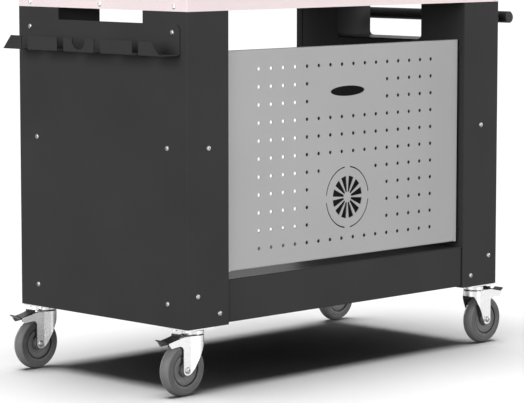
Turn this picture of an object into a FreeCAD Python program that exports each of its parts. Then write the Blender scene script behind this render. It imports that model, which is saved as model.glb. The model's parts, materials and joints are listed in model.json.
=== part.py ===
"""Outdoor pizza oven table: a folded sheet-metal trolley on four braked swivel casters.

Millimetres, +Z up. The origin is on the floor, midway between the four casters;
+X runs to the right along the front and +Y runs to the back.
"""

import FreeCAD, Part
import math
import os
import re

import Sketcher
from FreeCAD import Placement, Rotation, Vector

# Driving dimensions, one spreadsheet row each. Heights called a level are
# measured up from the lower edge of the body; the floor is caster_height below it.
SIZES = {
    # body
    "table_width": 1100,
    "table_depth": 598,
    "body_height": 731,
    "caster_height": 158.5,
    "gauge": 2,
    "bend_radius": 3,
    "fit_gap": 0.2,
    # side columns
    "column_width": 133,
    "return_depth": 22,
    "top_tab_depth": 26,
    "window_width": 299,
    "window_level": 629,
    "window_corner": 16,
    "tray_gauge": 3,
    "tray_height": 92,
    "brace_level": 430,
    "brace_depth": 32,
    # base between the columns
    "rail_level": 4,
    "rail_height": 100,
    "rail_recess": 4,
    "rail_flange": 25,
    "shelf_flange": 20,
    # worktop
    "top_height": 32,
    "top_edge": 2.5,
    "frame_tube": 30,
    "tube_wall": 2,
    "top_screw_level": 11,
    "top_screw_inset": 43,
    # front flap
    "flap_gap": 13.5,
    "flap_recess": 15,
    "flap_fold": 15,
    "flap_level": 121,
    "flap_height": 516,
    "flap_corner": 4,
    "hole_size": 9.6,
    "hole_pitch_across": 40.6,
    "hole_pitch_up": 42.5,
    "hole_margin": 45.5,
    "grip_length": 120,
    "grip_height": 25,
    "grip_drop": 111,
    "motif_level": 266,
    "motif_outer": 52,
    "motif_inner": 13,
    "crust_radius": 73,
    "crust_slot": 3,
    "pivot_rise": 20,
    "pivot_setback": 8,
    "pivot_pin": 8,
    "hinge_plate": 3,
    "catch_drop": 23,
    "catch_height": 20,
    "catch_lip": 4,
    # tool rack
    "rack_reach": 67,
    "rack_inset": 22,
    "rack_level": 631,
    "rack_height": 71,
    "rack_corner": 15,
    "rack_lip": 33,
    "rack_lip_slant": 29.5,
    "rack_slot": 23,
    "rack_slot_pitch": 131,
    "rack_slot_depth": 42,
    "rack_notch": 45,
    "rack_notch_depth": 27,
    "rack_screw_drop": 19,
    "rack_screw_inset": 24.5,
    # handle
    "handle_standoff": 52,
    "handle_diameter": 30,
    "handle_wall": 2,
    "handle_inset": 6,
    "handle_level": 689,
    "bracket_inset": 64,
    "bracket_post": 16,
    "bracket_flange": 38,
    # button-head body screws
    "screw_hole": 6.4,
    "screw_shank": 6,
    "screw_head": 12.5,
    "screw_dome": 3.6,
    "screw_length": 9,
    "side_screw_inset": 67,
    "brace_screw_level": 416.5,
    "tray_screw_level": 54.5,
    "leg_screw_middle": 67,
    "leg_screw_outer": 32,
    "leg_screw_inner": 102,
    "leg_screw_high": 75.4,
    "leg_screw_low": 29.3,
    # casters
    "caster_inset_across": 49,
    "caster_inset_deep": 36,
    "caster_trail": 35,
    "wheel_diameter": 125,
    "tyre_width": 31,
    "tread_flat": 10,
    "tread_drop": 6.8,
    "tread_round": 12,
    "rim_diameter": 76,
    "hub_length": 34,
    "hub_boss": 30,
    "hub_web": 20,
    "rim_lip": 3,
    "rim_land": 4,
    "rim_slope": 3,
    "axle_diameter": 10,
    "axle_head": 16,
    "axle_head_height": 5,
    "running_gap": 0.05,
    "fork_gauge": 2.5,
    "fork_inside": 36,
    "fork_crown": 53,
    "fork_level": 140.5,
    "fork_flare": 16,
    "fork_tip": 12,
    "fork_tip_flat": 8.4,
    "fork_skirt": 13,
    "fork_throat": 1,
    "fork_edge_reach": 19.5,
    "fork_edge_rise": 1,
    "fork_edge_top": 18,
    "fork_arm": 59.5,
    "fork_arm_drop": 9.7,
    "fork_arm_depth": 12.1,
    "fork_arm_slant": 9.5,
    "fork_arm_taper": 3.3,
    "fork_arm_round": 3,
    "crown_lip": 1,
    "race_height": 2.3,
    "race_inset": 3,
    "cup_rim": 143,
    "cup_chamfer": 2,
    "cup_shoulder": 4,
    "mount_plate": 3,
    "plate_length": 94,
    "plate_width": 69,
    "plate_bolt_across": 72,
    "plate_bolt_deep": 42,
    "caster_bolt": 8,
    "caster_bolt_head": 13,
    "caster_bolt_height": 5,
    "kingpin_diameter": 12,
    "kingpin_head": 20,
    "kingpin_head_height": 4,
    "pedal_width": 28,
    "pedal_gauge": 3,
    "pedal_pin": 6,
    "pedal_pin_reach": 30,
    "pedal_pin_level": 130,
    "pedal_boss": 5.5,
    "pedal_bar_reach": 17,
    "pedal_bar_length": 6,
    "pedal_bar_rise": 17,
    "pedal_bar_step": 4.5,
    "pedal_dip_reach": 26.5,
    "pedal_dip_rise": 1,
    "pedal_toe_reach": 40.5,
    "pedal_toe_rise": 8.8,
    "pedal_bend": 5,
    "shoe_gap": 1.8,
    "shoe_width": 22,
    "shoe_length": 9,
    "shoe_reach": 4,
}

doc = FreeCAD.newDocument("oven_table")
nodes = []


def fill_sheet():
    """Write every driving dimension to the sheet, with its name beside it."""
    sheet = doc.addObject("Spreadsheet::Sheet", "Sizes")
    for row, (alias, value) in enumerate(SIZES.items(), 1):
        sheet.set(f"A{row}", alias)
        sheet.set(f"B{row}", str(value))
        sheet.setAlias(f"B{row}", alias)
    doc.recompute()
    return sheet


sheet = fill_sheet()


def bind(item, path, text):
    """Bind a property to an expression written with the sheet's aliases."""
    words = re.sub(r"[a-z][a-z_]*", lambda word: _reference(word.group()), str(text))
    item.setExpression(path, words)


def _reference(word):
    return "Sizes." + word if word in SIZES else word


def place(item, x=0, y=0, z=0, rotation=None):
    """Turn an object, then bind where it stands."""
    item.Placement = Placement(Vector(0, 0, 0), rotation or Rotation())
    for axis, text in (("x", x), ("y", y), ("z", z)):
        bind(item, "Placement.Base." + axis, text)
    return item


def node(item, label):
    """Name an object as one of the table's separate pieces."""
    item.Label = label
    nodes.append(item)
    return item


ALONG_X = Rotation(Vector(0, 1, 0), 90)
ALONG_Y = Rotation(Vector(1, 0, 0), -90)
UPRIGHT = Rotation(Vector(1, 0, 0), 90)
HALF_TURN = Rotation(Vector(0, 0, 1), 180)


# Part primitives and booleans

def box(label, size, corner):
    """A block from its lowest corner."""
    block = doc.addObject("Part::Box", label)
    for side, text in zip(("Length", "Width", "Height"), size):
        bind(block, side, text)
    return place(block, *corner)


def cylinder(label, radius, height, base, rotation=None, angle=360):
    rod = doc.addObject("Part::Cylinder", label)
    bind(rod, "Radius", radius)
    bind(rod, "Height", height)
    bind(rod, "Angle", angle)
    return place(rod, *base, rotation=rotation)


def cut(label, base, *tools):
    """Take the tools out of the base."""
    tool = tools[0]
    if len(tools) > 1:
        tool = doc.addObject("Part::Compound", label + "_tools")
        tool.Links = list(tools)
    result = doc.addObject("Part::Cut", label)
    result.Base = base
    result.Tool = tool
    return result


def fuse(label, *shapes):
    result = doc.addObject("Part::MultiFuse", label)
    result.Shapes = list(shapes)
    return result


def group(label, *items):
    """Separate solids kept together under one name."""
    result = doc.addObject("Part::Compound", label)
    result.Links = list(items)
    return result


def copy(label, master, x=0, y=0, z=0, rotation=None):
    """Stand a copy of a finished piece somewhere else."""
    return place(group(label, master), x, y, z, rotation)


def mirrored(label, master):
    """The same piece for the other side of the table."""
    result = doc.addObject("Part::Mirroring", label)
    result.Source = master
    result.Normal = Vector(1, 0, 0)
    return result


# PartDesign features

def new_body(label):
    return doc.addObject("PartDesign::Body", label)


def sketch_on(body, plane, label, level=0):
    """An empty sketch on one of the body's own origin planes, moved along its normal."""
    sketch = body.newObject("Sketcher::SketchObject", label)
    features = body.Origin.OriginFeatures
    support = [feature for feature in features if feature.Role == plane + "_Plane"][0]
    sketch.AttachmentSupport = (support, "")
    sketch.MapMode = "FlatFace"
    bind(sketch, "AttachmentOffset.Base.z", level)
    return sketch


def _pin_point(sketch, geometry, end, name, x, y):
    """Hold a point of the sketch at two bound coordinates."""
    for kind, text in (("X", x), ("Y", y)):
        fixed = Sketcher.Constraint("Distance" + kind, -1, 1, geometry, end, 1.0)
        index = sketch.addConstraint(fixed)
        title = f"{name}_{kind.lower()}"
        sketch.renameConstraint(index, title)
        bind(sketch, "Constraints." + title, text)


def polygon(sketch, corners):
    """A closed outline whose corners are bound to the sheet."""
    first = sketch.GeometryCount
    count = len(corners)
    for index in range(count):
        here = 2 * math.pi * index / count
        there = 2 * math.pi * (index + 1) / count
        start = Vector(math.cos(here), math.sin(here), 0)
        end = Vector(math.cos(there), math.sin(there), 0)
        sketch.addGeometry(Part.LineSegment(start, end), False)
    for index in range(count):
        following = first + (index + 1) % count
        sketch.addConstraint(Sketcher.Constraint("Coincident", first + index, 2, following, 1))
    for index, (x, y) in enumerate(corners):
        _pin_point(sketch, first + index, 1, f"corner{first + index}", x, y)


def circle(sketch, x, y, diameter):
    index = sketch.addGeometry(Part.Circle(Vector(0, 0, 0), Vector(0, 0, 1), 1), False)
    size = sketch.addConstraint(Sketcher.Constraint("Diameter", index, 2.0))
    sketch.renameConstraint(size, f"size{index}")
    bind(sketch, f"Constraints.size{index}", diameter)
    _pin_point(sketch, index, 3, f"centre{index}", x, y)


def pad(body, sketch, length, midplane=False, backwards=False):
    feature = body.newObject("PartDesign::Pad", sketch.Name + "_pad")
    feature.Profile = sketch
    bind(feature, "Length", length)
    feature.SideType = "Symmetric" if midplane else "One side"
    feature.Reversed = backwards
    doc.recompute()
    return feature


def pocket(body, sketch, both_ways=False, backwards=False, length=None):
    """Cut a sketch out of the body, and make sure that it did."""
    before = body.Shape.Volume
    feature = body.newObject("PartDesign::Pocket", sketch.Name + "_pocket")
    feature.Profile = sketch
    feature.Reversed = backwards
    if length is None:
        feature.Type = "ThroughAll"
    else:
        bind(feature, "Length", length)
    if both_ways:
        feature.SideType = "Symmetric"
    doc.recompute()
    if body.Shape.Volume >= before:
        raise RuntimeError(sketch.Name + " cuts nothing")
    return feature


def revolve(body, sketch, axis):
    """Turn a profile about an axis line of its sketch."""
    feature = body.newObject("PartDesign::Revolution", sketch.Name + "_turned")
    feature.Profile = sketch
    feature.ReferenceAxis = (sketch, [axis])
    feature.Angle = 360
    doc.recompute()
    return feature


def round_edges(body, feature, radius, wanted):
    """Fillet the edges of a feature that a test picks by its middle and direction."""
    doc.recompute()
    names = []
    for index, edge in enumerate(feature.Shape.Edges, 1):
        middle = edge.valueAt((edge.FirstParameter + edge.LastParameter) / 2)
        tangent = edge.tangentAt((edge.FirstParameter + edge.LastParameter) / 2)
        if wanted(middle, tangent):
            names.append(f"Edge{index}")
    if not names:
        raise RuntimeError("no edge to round on " + body.Label)
    fillet = body.newObject("PartDesign::Fillet", body.Name + "_round")
    fillet.Base = (feature, names)
    bind(fillet, "Radius", radius)
    body.Tip = fillet
    doc.recompute()
    return fillet


def size(alias):
    """A dimension as the sheet holds it now."""
    return float(sheet.get(alias))


def value(text):
    """What an expression over the sheet comes to now."""
    probe = re.sub(r"[a-z][a-z_]*", lambda word: _reference(word.group()), str(text))
    return float(sheet.evalExpression(probe))


def near(first, second):
    return abs(first - second) < 0.01


def round_block(label, block, radius, wanted):
    """Fillet the edges of a plain block that a test picks by its middle and direction."""
    doc.recompute()
    rounded = doc.addObject("Part::Fillet", label)
    rounded.Base = block
    picked = []
    for index, edge in enumerate(block.Shape.Edges, 1):
        if wanted(edge.CenterOfMass, edge.tangentAt(edge.FirstParameter)):
            picked.append((index, radius, radius))
    rounded.Edges = picked
    return rounded


HALF_WIDTH = "table_width / 2"
HALF_DEPTH = "table_depth / 2"
INNER_X = "(table_width / 2 - column_width)"
BODY_TOP = "(caster_height + body_height)"
TOP_SCREW_Y = f"({HALF_DEPTH} - top_screw_inset)"
RACK_SCREW_Y = f"({HALF_DEPTH} - rack_inset - rack_screw_inset)"
BRACKET_Y = f"({HALF_DEPTH} - bracket_inset)"


# Side columns

def side_panel_section(body):
    """The folded sheet seen from above: side face, two leg faces and their returns."""
    sketch = sketch_on(body, "XY", body.Name + "_section")
    outer_x = "-" + HALF_WIDTH
    inner_x = "-" + INNER_X
    corners = []
    for sign in ("-", ""):
        wing = [
            (f"{inner_x} - gauge", f"{sign}({HALF_DEPTH} - return_depth)"),
            (inner_x, f"{sign}({HALF_DEPTH} - return_depth)"),
            (inner_x, f"{sign}{HALF_DEPTH}"),
            (outer_x, f"{sign}{HALF_DEPTH}"),
        ]
        corners += wing if sign == "-" else wing[::-1]
    for sign in ("", "-"):
        web = [
            (f"{inner_x} - gauge", f"{sign}({HALF_DEPTH} - gauge)"),
            (f"{outer_x} + gauge", f"{sign}({HALF_DEPTH} - gauge)"),
        ]
        corners += web if sign == "" else web[::-1]
    polygon(sketch, corners)
    return sketch


def side_screw_seats():
    """Where the button screws sit on a side face: across the depth, and up."""
    seats = []
    for level in ("brace_screw_level", "tray_screw_level"):
        for sign in ("-", ""):
            seats.append((f"{sign}({HALF_DEPTH} - side_screw_inset)", level))
    return seats


def leg_screw_seats():
    """Where the button screws sit on a leg face: in from the table's side, and up."""
    return [
        ("leg_screw_middle", "brace_screw_level"),
        ("leg_screw_outer", "leg_screw_high"),
        ("leg_screw_inner", "leg_screw_low"),
    ]


def side_panel(label, mounting_holes):
    """Outer sheet of the left column; the right one is its mirror image."""
    body = new_body(label)
    folded = pad(body, side_panel_section(body), "body_height")
    half_width = size("table_width") / 2
    half_depth = size("table_depth") / 2
    inner_x = half_width - size("column_width")

    def outer_bend(middle, tangent):
        upright = near(abs(tangent.z), 1)
        at_side = near(abs(middle.x), half_width) or near(abs(middle.x), inner_x)
        return upright and at_side and near(abs(middle.y), half_depth)

    round_edges(body, folded, "bend_radius", outer_bend)
    tabs = sketch_on(body, "XY", label + "_tabs", "body_height - gauge")
    for sign in ("-", ""):
        polygon(tabs, [
            (f"-{HALF_WIDTH} + gauge / 2", f"{sign}({HALF_DEPTH} - gauge / 2)"),
            (f"-{HALF_WIDTH} + gauge / 2", f"{sign}({HALF_DEPTH} - gauge - top_tab_depth)"),
            (f"-{INNER_X} - gauge * 2 - fit_gap", f"{sign}({HALF_DEPTH} - gauge - top_tab_depth)"),
            (f"-{INNER_X} - gauge * 2 - fit_gap", f"{sign}({HALF_DEPTH} - gauge / 2)"),
        ])
    pad(body, tabs, "gauge")
    window = sketch_on(body, "YZ", label + "_window")
    polygon(window, [
        ("-window_width / 2", "window_level"),
        ("window_width / 2", "window_level"),
        ("window_width / 2", "body_height + gauge"),
        ("-window_width / 2", "body_height + gauge"),
    ])
    opened = pocket(body, window)
    half_window = size("window_width") / 2
    sill = size("window_level")

    def sill_corner(middle, tangent):
        across = near(abs(tangent.x), 1)
        return across and near(abs(middle.y), half_window) and near(middle.z, sill)

    round_edges(body, opened, "window_corner", sill_corner)
    side_holes = sketch_on(body, "YZ", label + "_side_holes")
    for y, z in side_screw_seats():
        circle(side_holes, y, z, "screw_hole")
    for y, z, diameter in mounting_holes:
        circle(side_holes, y, z, diameter)
    pocket(body, side_holes)
    leg_holes = sketch_on(body, "XZ", label + "_leg_holes")
    for inset, z in leg_screw_seats():
        circle(leg_holes, f"-{HALF_WIDTH} + {inset}", z, "screw_hole")
    pocket(body, leg_holes, both_ways=True)
    return body


def side_panels():
    """Both outer sheets, which differ only in the holes for what hangs on them."""
    rack_holes = []
    handle_holes = []
    for sign in ("-", ""):
        rack_holes.append((f"{sign}{RACK_SCREW_Y}",
                           "rack_level + rack_height - rack_screw_drop", "screw_hole"))
        handle_holes.append((f"{sign}{BRACKET_Y}", "handle_level", "caster_bolt + 2 * fit_gap"))
    left = side_panel("side_panel_left_folded", rack_holes)
    right = side_panel("side_panel_right_folded", handle_holes)
    node(copy("left_side_panel", left, z="caster_height"), "left_side_panel")
    flipped = mirrored("side_panel_right_flipped", right)
    node(copy("right_side_panel", flipped, z="caster_height"), "right_side_panel")


def inner_wall():
    """Flat sheet behind the column's returns, with the same window as the outer sheet."""
    deep = f"({HALF_DEPTH} - gauge - fit_gap)"
    sheet_blank = box(
        "wall_blank",
        ("gauge", f"2 * {deep}", "body_height - gauge - 2 * fit_gap"),
        (f"-{INNER_X} - 2 * gauge", f"-{deep}", "caster_height"),
    )
    window = box(
        "wall_window",
        ("3 * gauge", "window_width", "body_height"),
        (f"-{INNER_X} - 3 * gauge", "-window_width / 2", "caster_height + window_level"),
    )
    opened = cut("wall_opened", sheet_blank, window)
    half_window = size("window_width") / 2
    sill = size("caster_height") + size("window_level")

    def sill_corner(middle, tangent):
        return near(middle.z, sill) and near(abs(middle.y), half_window)

    return round_block("wall_rounded", opened, size("window_corner"), sill_corner)


COLUMN_INSIDE = "(column_width - 3 * gauge - 2 * fit_gap)"
COLUMN_DEEP = "(table_depth - 2 * gauge - 2 * fit_gap)"
COLUMN_LOW_X = f"(-{HALF_WIDTH} + gauge + fit_gap)"


def column_box(label, height, low_z, wall, open_level):
    """Sheet box that fills the inside of a column, with rounded upright edges and one open side."""
    shell = box(label + "_shell", (COLUMN_INSIDE, COLUMN_DEEP, height),
                (COLUMN_LOW_X, f"-{COLUMN_DEEP} / 2", low_z))
    bent = round_block(label + "_bent", shell, size("bend_radius"),
                       lambda middle, tangent: near(abs(tangent.z), 1))
    hollow = box(label + "_hollow",
                 (f"{COLUMN_INSIDE} - 2 * {wall}", f"{COLUMN_DEEP} - 2 * {wall}", height),
                 (f"{COLUMN_LOW_X} + {wall}", f"-{COLUMN_DEEP} / 2 + {wall}", open_level))
    return bent, hollow


def base_tray():
    """Welded box in the foot of a column, which the casters bolt to."""
    bent, hollow = column_box("tray", "tray_height", "caster_height", "tray_gauge",
                              "caster_height + tray_gauge")
    tools = [hollow]
    for deep_sign in ("-", ""):
        for bolt_x, bolt_y in caster_bolt_seats("-", deep_sign):
            tools.append(cylinder("tray_bolt_hole", "caster_bolt / 2 + fit_gap", "2 * tray_gauge",
                                  (bolt_x, bolt_y, "caster_height - tray_gauge / 2")))
        tools.append(cylinder("tray_kingpin_hole", "kingpin_diameter / 2 + fit_gap", "2 * tray_gauge",
                              (f"-({HALF_WIDTH} - caster_inset_across)",
                               f"{deep_sign}({HALF_DEPTH} - caster_inset_deep)",
                               "caster_height - tray_gauge / 2")))
    for y, z in side_screw_seats()[2:]:
        tools.append(cylinder("tray_side_hole", "screw_hole / 2", "3 * tray_gauge",
                              (f"{COLUMN_LOW_X} - tray_gauge", y, f"caster_height + {z}"), ALONG_X))
    for inset, z in leg_screw_seats()[1:]:
        tools.append(cylinder("tray_leg_hole", "screw_hole / 2", "table_depth",
                              (f"-{HALF_WIDTH} + {inset}", f"-{HALF_DEPTH}", f"caster_height + {z}"),
                              ALONG_Y))
    return cut("tray_finished", bent, *tools)


def column_brace():
    """Shallow folded stiffener across the middle of a column, open side down."""
    low_z = "(caster_height + brace_level - brace_depth)"
    bent, hollow = column_box("brace", "brace_depth", low_z, "gauge", f"{low_z} - gauge")
    tools = [hollow]
    for y, z in side_screw_seats()[:2]:
        tools.append(cylinder("brace_side_hole", "screw_hole / 2", "3 * gauge",
                              (f"{COLUMN_LOW_X} - gauge", y, f"caster_height + {z}"), ALONG_X))
    inset, z = leg_screw_seats()[0]
    tools.append(cylinder("brace_leg_hole", "screw_hole / 2", "table_depth",
                          (f"-{HALF_WIDTH} + {inset}", f"-{HALF_DEPTH}", f"caster_height + {z}"),
                          ALONG_Y))
    return cut("brace_finished", bent, *tools)


def columns():
    side_panels()
    for label, master in (("inner_wall", inner_wall()), ("base_tray", base_tray()),
                          ("column_brace", column_brace())):
        node(copy("left_" + label, master), "left_" + label)
        node(mirrored("right_" + label, master), "right_" + label)


# Base between the columns

def rail(label, sign):
    """Folded channel between the two front or the two back legs, open to the inside."""
    body = new_body(label + "_folded")
    face = f"({HALF_DEPTH} - rail_recess)"
    half_length = f"({INNER_X} - fit_gap)"
    sketch = sketch_on(body, "YZ", label + "_section", f"-{half_length}")
    corners = [
        (f"-{face}", "rail_level"),
        (f"-{face} + rail_flange", "rail_level"),
        (f"-{face} + rail_flange", "rail_level + gauge"),
        (f"-{face} + gauge", "rail_level + gauge"),
        (f"-{face} + gauge", "rail_level + rail_height - gauge"),
        (f"-{face} + rail_flange", "rail_level + rail_height - gauge"),
        (f"-{face} + rail_flange", "rail_level + rail_height"),
        (f"-{face}", "rail_level + rail_height"),
    ]
    polygon(sketch, corners)
    channel = pad(body, sketch, f"2 * {half_length}")
    low = size("rail_level")
    high = low + size("rail_height")
    face_y = size("table_depth") / 2 - size("rail_recess")

    def fold(middle, tangent):
        at_fold = near(middle.z, low) or near(middle.z, high)
        return near(abs(tangent.x), 1) and at_fold and near(abs(middle.y), face_y)

    round_edges(body, channel, "bend_radius", fold)
    turn = HALF_TURN if sign > 0 else None
    node(copy(label, body, z="caster_height", rotation=turn), label)


def bottom_shelf():
    """Storage shelf, lying on the rails with its ends folded down."""
    half_length = f"({INNER_X} - fit_gap)"
    half_deep = f"({HALF_DEPTH} - rail_recess - fit_gap)"
    level = "(caster_height + rail_level + rail_height)"
    plate = box("shelf_plate", (f"2 * {half_length}", f"2 * {half_deep}", "gauge"),
                (f"-{half_length}", f"-{half_deep}", level))
    fold_half = f"({HALF_DEPTH} - rail_recess - rail_flange - gauge / 2)"
    ends = []
    for x in (f"-{half_length}", f"{half_length} - gauge"):
        ends.append(box("shelf_end", ("gauge", f"2 * {fold_half}", "shelf_flange"),
                        (x, f"-{fold_half}", f"{level} - shelf_flange")))
    node(fuse("bottom_shelf", plate, *ends), "bottom_shelf")


# Worktop

def worktop():
    """Pale folded cap, flush with the body all round."""
    body = new_body("worktop_folded")
    outline = sketch_on(body, "XY", "worktop_outline")
    polygon(outline, [
        (f"-{HALF_WIDTH}", f"-{HALF_DEPTH}"),
        (HALF_WIDTH, f"-{HALF_DEPTH}"),
        (HALF_WIDTH, HALF_DEPTH),
        (f"-{HALF_WIDTH}", HALF_DEPTH),
    ])
    slab = pad(body, outline, "top_height")
    corners = round_edges(body, slab, "bend_radius", lambda middle, tangent: near(abs(tangent.z), 1))
    high = size("top_height")
    round_edges(body, corners, "top_edge", lambda middle, tangent: near(middle.z, high))
    inside = sketch_on(body, "XY", "worktop_inside")
    polygon(inside, [
        (f"-{HALF_WIDTH} + gauge", f"-{HALF_DEPTH} + gauge"),
        (f"{HALF_WIDTH} - gauge", f"-{HALF_DEPTH} + gauge"),
        (f"{HALF_WIDTH} - gauge", f"{HALF_DEPTH} - gauge"),
        (f"-{HALF_WIDTH} + gauge", f"{HALF_DEPTH} - gauge"),
    ])
    pocket(body, inside, backwards=True, length="top_height - gauge")
    holes = sketch_on(body, "YZ", "worktop_holes")
    for spread in ("-" + TOP_SCREW_Y, "0", TOP_SCREW_Y):
        circle(holes, spread, "top_screw_level", "screw_hole")
    pocket(body, holes, both_ways=True)
    node(copy("worktop", body, z=BODY_TOP), "worktop")


def worktop_frame():
    """Welded square tubes under the cap, standing on the columns' top tabs."""
    long_half = f"({HALF_WIDTH} - gauge - fit_gap)"
    deep_half = f"({HALF_DEPTH} - gauge - fit_gap)"
    bore = "(frame_tube - 2 * tube_wall)"
    tubes = []
    bores = []
    for y in (f"-{deep_half}", f"{deep_half} - frame_tube"):
        tubes.append(box("long_tube", (f"2 * {long_half}", "frame_tube", "frame_tube"),
                         (f"-{long_half}", y, BODY_TOP)))
        bores.append(box("long_bore", (f"2 * {long_half}", bore, bore),
                         (f"-{long_half}", f"{y} + tube_wall", f"{BODY_TOP} + tube_wall")))
    inner_half = f"({deep_half} - frame_tube)"
    cross_places = (f"-{long_half}", f"-{INNER_X}", "-frame_tube / 2",
                    f"{INNER_X} - frame_tube", f"{long_half} - frame_tube")
    for x in cross_places:
        tubes.append(box("cross_tube", ("frame_tube", f"2 * {deep_half}", "frame_tube"),
                         (x, f"-{deep_half}", BODY_TOP)))
        bores.append(box("cross_bore", (bore, f"2 * {inner_half}", bore),
                         (f"{x} + tube_wall", f"-{inner_half}", f"{BODY_TOP} + tube_wall")))
    for side in (f"-{long_half} - fit_gap", f"{long_half} + fit_gap - 2 * tube_wall"):
        for spread in ("-" + TOP_SCREW_Y, "0", TOP_SCREW_Y):
            bores.append(cylinder("frame_hole", "screw_hole / 2", "2 * tube_wall",
                                  (side, spread, f"{BODY_TOP} + top_screw_level"), ALONG_X))
    welded = fuse("frame_welded", *tubes)
    node(cut("worktop_frame", welded, *bores), "worktop_frame")


# Front flap

HOLE_COLUMNS = 16
HOLE_ROWS = 11


def is_punched(column, row):
    """The grip slot and the cut-out picture each take the place of some holes."""
    in_middle = 5 <= column <= 10
    if row in (1, 2) or row in (7, 8, 9):
        return not in_middle
    if row == 6:
        return not 6 <= column <= 9
    return True


FLAP_FRONT = f"(-{HALF_DEPTH} + flap_recess)"
FLAP_BOTTOM = "(caster_height + flap_level)"
PIVOT_Y = f"({FLAP_FRONT} + pivot_setback)"
PIVOT_Z = f"({FLAP_BOTTOM} + pivot_rise)"


def punches():
    """Hole punches of the flap. Eight flats stand for each round hole, to keep the sheet light."""
    tools = []
    for row in range(HOLE_ROWS):
        for column in range(HOLE_COLUMNS):
            if not is_punched(column, row):
                continue
            punch = doc.addObject("Part::Prism", "punch")
            punch.Polygon = 8
            bind(punch, "Circumradius", "hole_size / 2")
            bind(punch, "Height", "flap_fold")
            across = f"({column} - {(HOLE_COLUMNS - 1) / 2}) * hole_pitch_across"
            up = f"{FLAP_BOTTOM} + flap_height - hole_margin - {row} * hole_pitch_up"
            tools.append(place(punch, across, f"{FLAP_FRONT} + flap_fold / 2", up, UPRIGHT))
    return tools


def grip_slot():
    """Oval hand slot near the flap's upper edge."""
    oval = doc.addObject("Part::Ellipse", "grip_oval")
    bind(oval, "MajorRadius", "grip_length / 2")
    bind(oval, "MinorRadius", "grip_height / 2")
    place(oval, 0, f"{FLAP_FRONT} - gauge", f"{FLAP_BOTTOM} + flap_height - grip_drop", UPRIGHT)
    slot = doc.addObject("Part::Extrusion", "grip_slot")
    slot.Base = oval
    slot.DirMode = "Custom"
    slot.Dir = Vector(0, 1, 0)
    bind(slot, "LengthFwd", "4 * gauge")
    slot.Solid = True
    return slot


def sliced_round():
    """Cut-out picture: narrow wedges inside a broken ring, like a round cut in slices."""
    centre = (0, f"{FLAP_FRONT} + 2 * gauge", "caster_height + motif_level")
    slices = 12
    slice_angle = 360 / slices
    bar_angle = 10
    tools = []

    def sector(name, outer, inner, start, angle):
        turn = UPRIGHT.multiply(Rotation(Vector(0, 0, 1), start))
        whole = cylinder(name, outer, "4 * gauge", centre, turn, angle)
        core = cylinder(name + "_core", inner, "4 * gauge", centre, turn, angle)
        return cut(name + "_cut", whole, core)

    for index in range(slices):
        start = index * slice_angle + bar_angle / 2
        tools.append(sector("wedge", "motif_outer", "motif_inner", start, slice_angle - bar_angle))
    arcs = 4
    bridge_angle = 14
    for index in range(arcs):
        start = index * 360 / arcs + bridge_angle / 2
        tools.append(sector("crust", "crust_radius + crust_slot", "crust_radius", start,
                            360 / arcs - bridge_angle))
    return tools


def front_flap():
    """Perforated sheet with folded edges, hinged at its foot on two pins."""
    half = f"({INNER_X} - flap_gap)"
    body = new_body("flap_folded")
    outline = sketch_on(body, "XZ", "flap_outline")
    polygon(outline, [
        (f"-{half}", "0"), (half, "0"), (half, "flap_height"), (f"-{half}", "flap_height"),
    ])
    blank = pad(body, outline, "flap_fold")
    fold = size("flap_fold")
    corners = round_edges(body, blank, "flap_corner",
                          lambda middle, tangent: near(abs(tangent.y), 1))

    def front_rim(middle, tangent):
        return near(middle.y, -fold)

    round_edges(body, corners, "bend_radius", front_rim)
    inside = sketch_on(body, "XZ", "flap_inside")
    polygon(inside, [
        (f"-{half} + gauge", "gauge"),
        (f"{half} - gauge", "gauge"),
        (f"{half} - gauge", "flap_height - gauge"),
        (f"-{half} + gauge", "flap_height - gauge"),
    ])
    pocket(body, inside, backwards=True, length="flap_fold - gauge")
    folded = copy("flap_placed", body, y=f"{FLAP_FRONT} + flap_fold", z=FLAP_BOTTOM)
    pin_hole = cylinder("flap_pin_hole", "pivot_pin / 2 + running_gap", f"2 * {half} + gauge",
                        (f"-{half} - gauge / 2", PIVOT_Y, PIVOT_Z), ALONG_X)
    tools = punches() + [grip_slot(), pin_hole] + sliced_round()
    node(cut("front_flap", folded, *tools), "front_flap")


def flap_hinge():
    """Left hinge plate: the pivot pin, and a lug that stops the open flap level."""
    wall_x = f"-{INNER_X}"
    plate_low_z = f"({PIVOT_Z} - pivot_pin)"
    lug_y = f"({PIVOT_Y} + pivot_rise - pivot_pin)"
    lug_z = f"({PIVOT_Z} + flap_fold - pivot_setback + fit_gap)"
    plate = box("hinge_plate", ("hinge_plate", f"{lug_y} + 2 * pivot_pin - ({PIVOT_Y} - pivot_pin)",
                                f"{lug_z} + pivot_pin - {plate_low_z}"),
                (wall_x, f"{PIVOT_Y} - pivot_pin", plate_low_z))
    pin = cylinder("hinge_pin", "pivot_pin / 2", "flap_gap + 3 * gauge",
                   (wall_x, PIVOT_Y, PIVOT_Z), ALONG_X)
    lug = box("hinge_lug", ("flap_gap + 8 * gauge", "2 * pivot_pin", "pivot_pin"),
              (wall_x, lug_y, lug_z))
    return fuse("hinge_welded", plate, pin, lug)


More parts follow.
